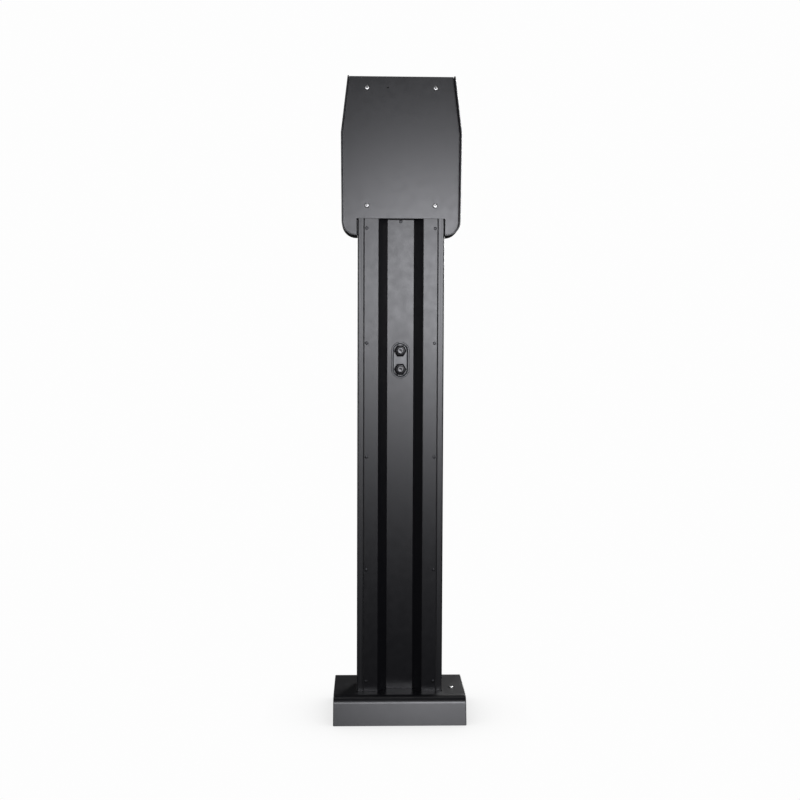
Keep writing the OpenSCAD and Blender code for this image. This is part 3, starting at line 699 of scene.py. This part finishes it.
def make_head_plate():
    """The back plate, with a notch for the column's top and one small hole."""
    outline = head_outline(RIM, HEAD_Z + RIM, HEAD_TOP, HEAD_R - RIM, 0)
    notch = [(NOTCH_HW, 1000, 0), (NOTCH_HW, COL_TOP + 1.5, 3)]
    notch += [(-x, z, r) for x, z, r in reversed(notch)]
    through = (PLATE_Y[0] - 5, PLATE_Y[1] + 4)
    obj = raw("head_back_plate", solid(slab, "y", outline, *PLATE_Y, edge=0.6))
    hole = circle(29.7, HEAD_TOP - 24.4, 2.25, 24)
    cuts = [solid(slab, "y", cut, *through) for cut in (round_outline(notch), hole)]
    combine(obj, "DIFFERENCE", raw("cuts", *cuts))
    keep(obj, "graphite_coat", "post", "head_plate")


def rim_outline(inner):
    """One side rim: down the side, round the bottom corner and in to its end at x = inner."""
    arc_z, arc_hw = HEAD_Z + HEAD_R, head_hw(HEAD_Z + HEAD_R)
    top = HEAD_TOP - 2.6
    turns = [math.pi / 2 * k / 14 for k in range(15)]
    sides = []
    for d in (RIM, 0):
        r = HEAD_R - d
        side = [Vector((head_hw(top) - d, top)), Vector((KINK_HW - d, KINK_Z))]
        side += [Vector((arc_hw - HEAD_R + r * math.cos(a), arc_z - r * math.sin(a))) for a in turns]
        side.append(Vector((inner, HEAD_Z + d)))
        sides.append(side)
    within, outer = sides
    return within + outer[::-1]


def make_rims():
    """Two side rims, each with a return flange beside the column. The first one stands for both."""
    inner = COL_HW + 0.6
    for name, side in (("rim_left", 1), ("rim_right", -1)):
        outline = rim_outline(inner)
        flange = box_outline(inner, HEAD_Z + 0.2, inner + 2, COL_TOP + 0.5, 0.9)
        if side < 0:
            outline, flange = mirrored(outline), mirrored(flange)
        obj = raw(name, solid(slab, "y", outline, *RIM_Y, edge=1.1, steps=4))
        combine(obj, "UNION", raw("flange", solid(slab, "y", flange, RIM_Y[0] + 1, 0, edge=0.3, steps=1)))
        nodes = ["side_rims"] if side > 0 else []
        keep(obj, "black_coat", "post", *nodes, smooth=28)


# ---------------------------------------------------------------- screws

def domed_screw(at, axis, head_r, head_h, drive, shank, sides=40, cross=False):
    """A low domed screw with a hexagon or cross recess, which faces up the axis.

    The last number of at is where its seat lies along the axis.
    """
    x, y, seat = at
    dome = [(0, -shank), (head_r * 0.55, -shank), (head_r * 0.55, 0), (head_r * 0.97, 0),
            (head_r, head_h * 0.12)]
    for k in range(7):
        a = math.pi / 2 * k / 6
        dome.append((head_r * (0.42 + 0.58 * math.cos(a) ** 0.8), head_h * (0.2 + 0.8 * math.sin(a))))
    dome.append((0, head_h))
    obj = raw("screw", solid(lathe, axis, (x, y), [(r, seat + t) for r, t in dome], sides))
    above = seat + head_h + 1
    if cross:
        bars = [box_outline(x - w, y - h, x + w, y + h) for w, h in ((drive, drive / 5), (drive / 5, drive))]
        first, second = [raw("drive", solid(slab, axis, bar, seat + head_h * 0.25, above)) for bar in bars]
        tool = combine(first, "UNION", second)
    else:
        # The recess ends in a point, which keeps its middle dark
        steps = [(0.1, seat - 1.5), (drive, seat + head_h * 0.3), (drive, above)]
        tool = raw("drive", solid(loft, axis, [(circle(x, y, r, 6, math.pi / 6), t) for r, t in steps]))
    return combine(obj, "DIFFERENCE", tool)


def join(name, parts):
    """Several raw objects as one."""
    bm = bmesh.new()
    for part in parts:
        bm.from_mesh(part.data)
        bpy.data.objects.remove(part)
    mesh = bpy.data.meshes.new(name)
    bm.to_mesh(mesh)
    bm.free()
    obj = bpy.data.objects.new(name, mesh)
    bpy.context.collection.objects.link(obj)
    return obj


def make_screws():
    """Four screws on the head, eleven small ones on the rear cover and one on the foot cover."""
    head = [domed_screw((x * SCREW_X, SCREW_Z + z * SCREW_DZ, PLATE_Y[1]), "y", 5.25, 3.3, 2.3, 10)
            for x in (-1, 1) for z in (-1, 1)]
    keep(join("head_button_screws", head), "stainless", "post", "head_screws")
    places = [(x * COVER_SCREW_X, COVER_SCREW_Z + COVER_SCREW_GAP * i, COL_Y)
              for x in (-1, 1) for i in range(5)]
    places.append((0, COL_TOP - 5, FLOOR_Y))
    small = [domed_screw(at, "y", 3.5, 1.6, 1.25, 4, 24) for at in places]
    keep(join("cover_button_screws", small), "black_screw", "post", "rear_cover_screws")
    foot = domed_screw(FOOT_SCREW, "z", 4.75, 2.6, 2.9, 8, 32, cross=True)
    foot.name = "foot_cover_screw"
    keep(foot, "stainless", "post", "base_cover_screw")


# ---------------------------------------------------------------- rear outlet

def outlet_rings(steps):
    """Upright ovals of the given widths, each at its place from the recess floor."""
    return [(oval(0, OUTLET_Z, w, w + OUTLET_LIFT), FLOOR_Y + t) for w, t in steps]


def make_outlet():
    """An oval cup with a rolled rim and a floor that the glands stand on, and a rubber lip round it."""
    back = [(33, -11.8), (33.4, -11), (33.6, -0.2)]
    rim = [(37.6, 0.1), (37.6, 0.7), (37.3, 1.0), (36.7, 1.2), (34.4, 1.2), (32.8, 0.7), (32.0, -0.4)]
    cup = [(31.7, -2.0), (31.5, -7.2), (30.6, -9.2), (28.4, -10.0), (9, -10.0), (4, -10.0)]
    obj = raw("outlet_rim", solid(loft, "y", outlet_rings(back + rim + cup)))
    keep(obj, "cup_plastic", "post", "outlet_cup")
    lip = [(35, 0.02), (39.5, 0.02), (39.5, 0.3), (38.9, 0.6), (35, 0.6)]
    seal = raw("outlet_seal_lip", solid(loft, "y", outlet_rings(lip)))
    bore = oval(0, OUTLET_Z, 36, 36 + OUTLET_LIFT)
    combine(seal, "DIFFERENCE", raw("bore", solid(slab, "y", bore, FLOOR_Y - 1, FLOOR_Y + 2)))
    keep(seal, "seal_rubber", "post")


def hex_layers(z, steps):
    """Hexagons whose corners are turned off, from (width across flats, radius limit, place) steps."""
    out = []
    for flats, limit, t in steps:
        ring = []
        for i in range(48):
            a = math.tau * i / 48 + math.pi / 6
            reach = flats / 2 / math.cos((a % (math.pi / 3)) - math.pi / 6)
            r = min(reach, limit)
            ring.append(Vector((r * math.cos(a), z + r * math.sin(a))))
        out.append((ring, t))
    return out


def make_glands():
    """Two cable glands, each with a hexagonal body, a domed cap nut and a blanking plug."""
    body = [(20, 10, -8), (20, 10, 3), (23.5, 12.6, 3), (24, 13.6, 3.8), (24, 13.6, 6.3), (23.4, 12.6, 7)]
    dome = [(23, 12.4, 7), (24, 13.7, 7.7), (24, 13.7, 11.4), (23.4, 12.4, 12.2), (22, 11.5, 12.9),
            (20.4, 10.6, 14.6), (17.8, 9.2, 15.8), (15.4, 7.9, 16), (13.8, 6.9, 15.4)]
    plug = [(0, 4), (5.5, 4), (5.5, 15.4), (6.7, 15.6), (7, 16.3), (6.6, 17.2), (5.2, 17.5), (3.4, 17.3),
            (0, 16.9)]
    places = (OUTLET_Z - GLAND_DZ, OUTLET_Z + GLAND_DZ)
    bodies = [solid(loft, "y", hex_layers(z, body)) for z in places]
    domes = [solid(loft, "y", hex_layers(z, dome)) for z in places]
    plugs = [solid(lathe, "y", (0, z), plug, 32) for z in places]
    keep(raw("gland_hex_bodies", *bodies), "gland_plastic", "post", "gland_bodies", smooth=24)
    keep(raw("gland_cap_nuts", *domes), "gland_plastic", "post", "gland_domes", smooth=24)
    keep(raw("gland_blanking_plugs", *plugs), "gland_plastic", "post", "gland_plugs")


# ---------------------------------------------------------------- charging unit

def unit_outline(d):
    """The charging unit's outline, d inside its own sides."""
    return head_outline(UNIT_GAP + d, UNIT_Z + d, UNIT_TOP - d, UNIT_R - d, max(9 - d, 1.2))


def make_unit_cover():
    """A moulded cover with a rounded front edge, a strip across its lower back and two lugs for the flap."""
    r, steps = 6.5, 6
    turns = [math.pi / 2 * k / steps for k in range(steps + 1)]
    layers = [(unit_outline(0.3), -37), (unit_outline(0), -37.4)]
    layers += [(unit_outline(r * (1 - math.cos(a))), r - UNIT_FRONT - r * math.sin(a)) for a in turns]
    obj = raw("unit_cover_shell", solid(loft, "y", layers))
    inner = [(unit_outline(3), -30), (unit_outline(3), -97), (unit_outline(7), -102.5)]
    combine(obj, "DIFFERENCE", raw("inner", solid(loft, "y", inner)))
    added = [solid(slab, "y", box_outline(-106, UNIT_Z + 1, 106, 1102.8, 1), -40, -37)]
    lug = round_outline([(-113.2, 1341, 0.8), (-105, 1341, 0), (-105, 1350.2, 0), (-113.2, 1350.2, 3)], 5)
    for x in (-86, -14):
        added.append(solid(slab, "x", lug, x - 2, x + 2, edge=0.4, steps=2))
    for extra in added:
        combine(obj, "UNION", raw("extra", extra))
    front = (-UNIT_FRONT - 1, -UNIT_FRONT + 5)
    socket, lock, button = circle(0, SOCKET_Z, 36.3, 96), circle(0, LOCK_Z, 9.5), circle(*BUTTON, 11.1)
    breaker = box_outline(-74, 1286, -26, 1338, 5)
    reader = box_outline(17.8, 1285.8, 82.2, 1350.2, 8)
    light = box_outline(-60, 1366, 60, 1374, 3.98)
    cuts = [solid(slab, "y", opening, *front) for opening in (socket, lock, button, breaker, light)]
    cuts.append(solid(slab, "y", reader, front[0], -UNIT_FRONT + 2))
    combine(obj, "DIFFERENCE", raw("cuts", *cuts))
    keep(obj, "housing_plastic", "post", "unit_cover", smooth=24)


def make_lid():
    """A turned lid with a hinge barrel above, and a finger tab with grip grooves below."""
    face = [(0, -5.9), (24, -6.7), (29.4, -7.0), (30, -6.5), (31.4, -6.5), (32, -7.2), (36.6, -7.9),
            (38.6, -7.6), (40.4, -6.7), (41.6, -5.2), (42, -3.6)]
    back = [(42, 0.4), (41.4, 1), (29, 1), (28.6, -3.6), (0, -3.6)]
    profile = [(r, LID_Y + t) for r, t in face + back]
    obj = raw("socket_lid_shell", solid(lathe, "y", (0, SOCKET_Z), profile, 96))
    low, high = SOCKET_Z - 47, SOCKET_Z - 38
    tab = round_outline([(-12, low, 4), (12, low, 4), (14, high, 0), (-14, high, 0)])
    arm = box_outline(-13.6, SOCKET_Z + 34, 13.6, LID_Z - 0.5, 0.6)
    hinge = (LID_Y, LID_Z)
    added = [solid(slab, "y", tab, LID_Y - 4, LID_Y + 0.9, edge=0.8, steps=2),
             solid(slab, "y", arm, LID_Y - 4.4, LID_Y - 0.1, edge=0.5, steps=2),
             solid(slab, "x", circle(*hinge, 4.5, 32), -13.6, 13.6, edge=0.5, steps=2)]
    for part in added:
        combine(obj, "UNION", raw("part", part))
    combine(obj, "DIFFERENCE", raw("spring_gap", solid(slab, "x", circle(*hinge, 5.2, 32), -4.8, 4.8)))
    combine(obj, "DIFFERENCE", raw("bore", solid(slab, "x", circle(*hinge, 2.06, 24), -15, 15)))
    grips = []
    for i in range(3):
        z = SOCKET_Z - 45 + 2.2 * i
        grips.append(solid(slab, "x", box_outline(LID_Y - 4.6, z - 0.4, LID_Y - 3.4, z + 0.4), -8, 8))
    combine(obj, "DIFFERENCE", raw("grips", *grips))
    keep(obj, "socket_plastic", "socket_lid", "socket_lid", smooth=26)


def make_button():
    """A dished red cap and the steel ring that it slides in."""
    y = -UNIT_FRONT
    cap = [(0, -89), (3, -89), (3, -98), (9.72, -98), (9.72, y - 1.0), (9.4, y - 1.9), (8.2, y - 2.5),
           (6.8, y - 2.6), (5.6, y - 2.2), (3, y - 1.9), (0, y - 1.8)]
    obj = raw("stop_button_cap", solid(lathe, "y", BUTTON, cap, 64))
    keep(obj, "button_red", "stop_button", "stop_button")
    ring = [(0, -80), (11, -80), (11, y + 0.2), (14.2, y + 0.05), (14.5, y - 0.5), (14.2, y - 1.6),
            (12.8, y - 2.8), (11.4, y - 3), (0, y - 3)]
    bore = [(0, -81), (9.8, -81.2), (9.8, y - 1.8), (10.2, y - 2.7), (11, y - 4), (0, y - 4)]
    obj = raw("button_bezel", solid(lathe, "y", BUTTON, ring, 64))
    combine(obj, "DIFFERENCE", raw("bore", solid(lathe, "y", BUTTON, bore, 64)))
    keep(obj, "stainless", "post", "button_housing")


def make_button_spring():
    """A copy of the CAD coil in its own place, which stands in for the button_spring node."""
    node = NODES["button_spring"]
    obj = bpy.data.objects.new("button_coil", node.data.copy())
    bpy.context.collection.objects.link(obj)
    obj.matrix_world = node.matrix_world
    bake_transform(obj)
    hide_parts("button_spring")


make_column()
make_rear_cover()
make_foot_cover()
make_head_plate()
make_rims()
make_screws()
make_outlet()
make_glands()
make_unit_cover()
make_lid()
make_button()
make_button_spring()
